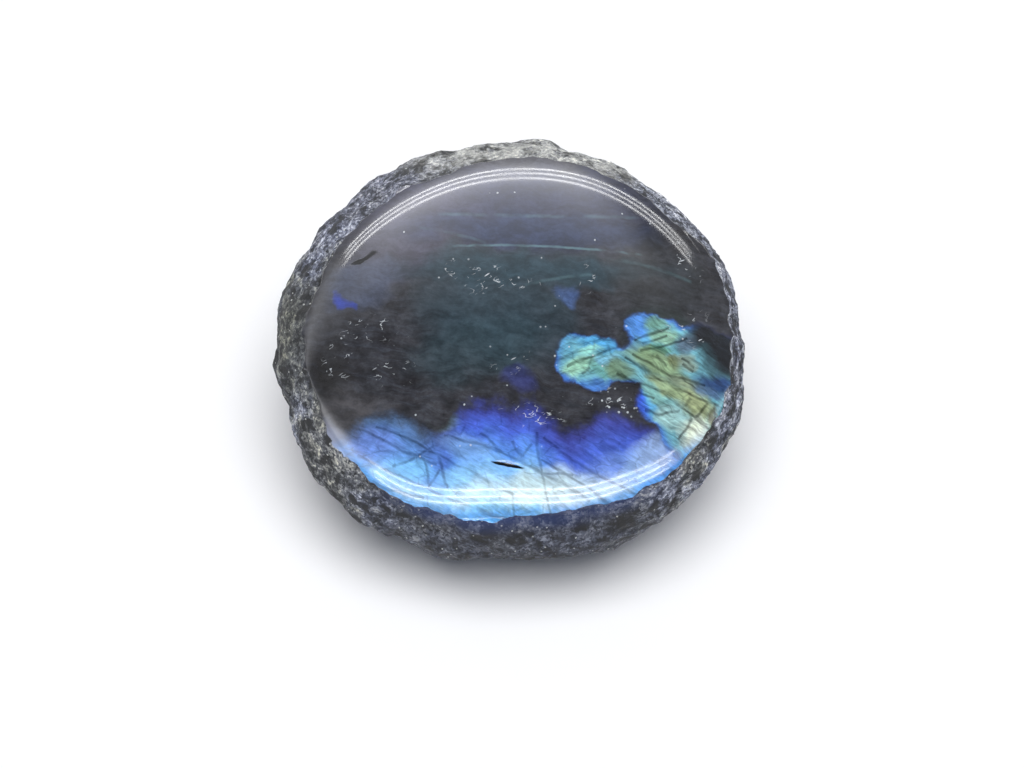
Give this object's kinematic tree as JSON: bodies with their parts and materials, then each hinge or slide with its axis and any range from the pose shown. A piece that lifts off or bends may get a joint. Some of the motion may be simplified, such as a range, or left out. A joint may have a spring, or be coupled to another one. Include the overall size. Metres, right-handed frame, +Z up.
{
  "type": "labradorite stone",
  "caption": "Squat egg-shaped feldspar stone with rough broken sides, a small worn flat to rest on and one low domed polished face that leans forward.",
  "frame": {"origin": "on the table, under the middle of the stone", "axes": "+X to the right across the width, +Y away from the viewer, +Z up; the polished face leans towards -Y"},
  "size_m": [0.0778, 0.0668, 0.0482],
  "materials": {
    "labradorite": "polished face with blue and green flashes, rough granular sides and underside"
  },
  "bodies": {
    "root": {"stone": "labradorite"}
  },
  "joints": []
}
